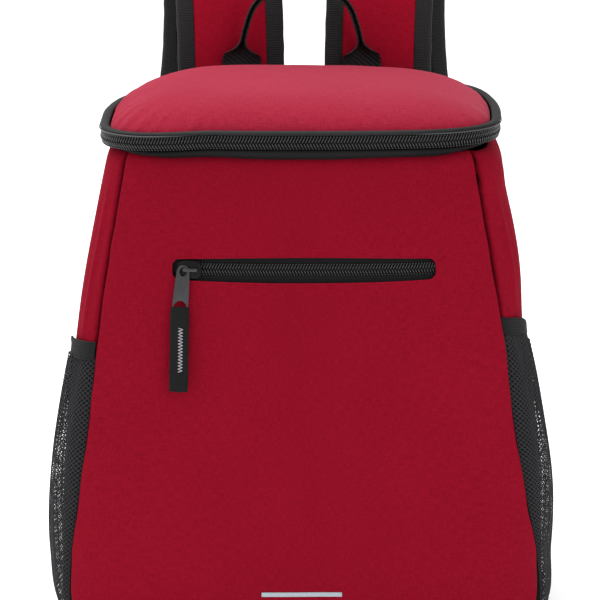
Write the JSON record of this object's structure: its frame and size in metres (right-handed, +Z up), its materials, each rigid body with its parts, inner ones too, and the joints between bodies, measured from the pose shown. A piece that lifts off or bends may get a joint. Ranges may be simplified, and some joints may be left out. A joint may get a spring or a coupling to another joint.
{
  "type": "cooler backpack",
  "caption": "Soft insulated backpack with a domed zip-round lid, front pocket, net side pockets, padded shoulder straps and a webbing carry handle.",
  "frame": {"origin": "middle of the flat base, on the surface that the bag stands on", "axes": "+Z up, the front panel faces -Y, +X to the right seen from the front"},
  "size_m": [0.3165, 0.2955, 0.4163],
  "materials": {
    "red_cloth": "plain woven nylon, matt, slight sheen",
    "black_cloth": "plain woven nylon, matt",
    "black_spacer_mesh": "knitted spacer mesh over foam, matt",
    "black_net": "knitted diamond net",
    "black_elastic": "ribbed elastic",
    "black_grosgrain": "ribbed tape, matt",
    "black_webbing": "woven webbing, matt",
    "black_zip_tape": "woven zip tape, matt",
    "black_zip_coil": "moulded coil, satin",
    "black_plastic": "moulded, satin",
    "dark_metal": "dark plated, satin",
    "reflective_tape": "retroreflective, satin"
  },
  "bodies": {
    "bag": {"front_panel": "red_cloth", "lid_panel": "red_cloth", "back_panel": "black_spacer_mesh", "base_panel": "black_cloth", "lid_tape_lower": "black_zip_tape", "lid_tape_upper": "black_zip_tape", "lid_coil": "black_zip_coil", "lid_hinge": "black_cloth", "lid_slider": "dark_metal", "pocket_zip_tape": "black_zip_tape", "pocket_zip_coil": "black_zip_coil", "pocket_zip_slider": "dark_metal", "reflective_strip": "reflective_tape", "carry_handle": "black_webbing", "gusset_upper_left": "red_cloth", "gusset_lower_left": "black_cloth", "pocket_net_left": "black_net", "pocket_band_left": "black_elastic", "strap_pad_left": "black_spacer_mesh", "strap_face_left": "red_cloth", "strap_binding_inner_left": "black_grosgrain", "strap_binding_outer_left": "black_grosgrain", "strap_buckle_left": "black_plastic", "strap_webbing_left": "black_webbing", "strap_anchor_left": "black_webbing", "gusset_upper_right": "red_cloth", "gusset_lower_right": "black_cloth", "pocket_net_right": "black_net", "pocket_band_right": "black_elastic", "strap_pad_right": "black_spacer_mesh", "strap_face_right": "red_cloth", "strap_binding_inner_right": "black_grosgrain", "strap_binding_outer_right": "black_grosgrain", "strap_buckle_right": "black_plastic", "strap_webbing_right": "black_webbing", "strap_anchor_right": "black_webbing"},
    "pull": {"zip_pull_tab": "dark_metal", "zip_pull_webbing": "black_webbing"}
  },
  "joints": [
    {"name": "zip_pull_swing", "type": "hinge", "parent": "bag", "child": "pull", "pos_m": [-0.07065, -0.07978, 0.23538], "axis": [-0.116, -0.9768, 0.1801], "range_deg": [-100, 40]}
  ]
}
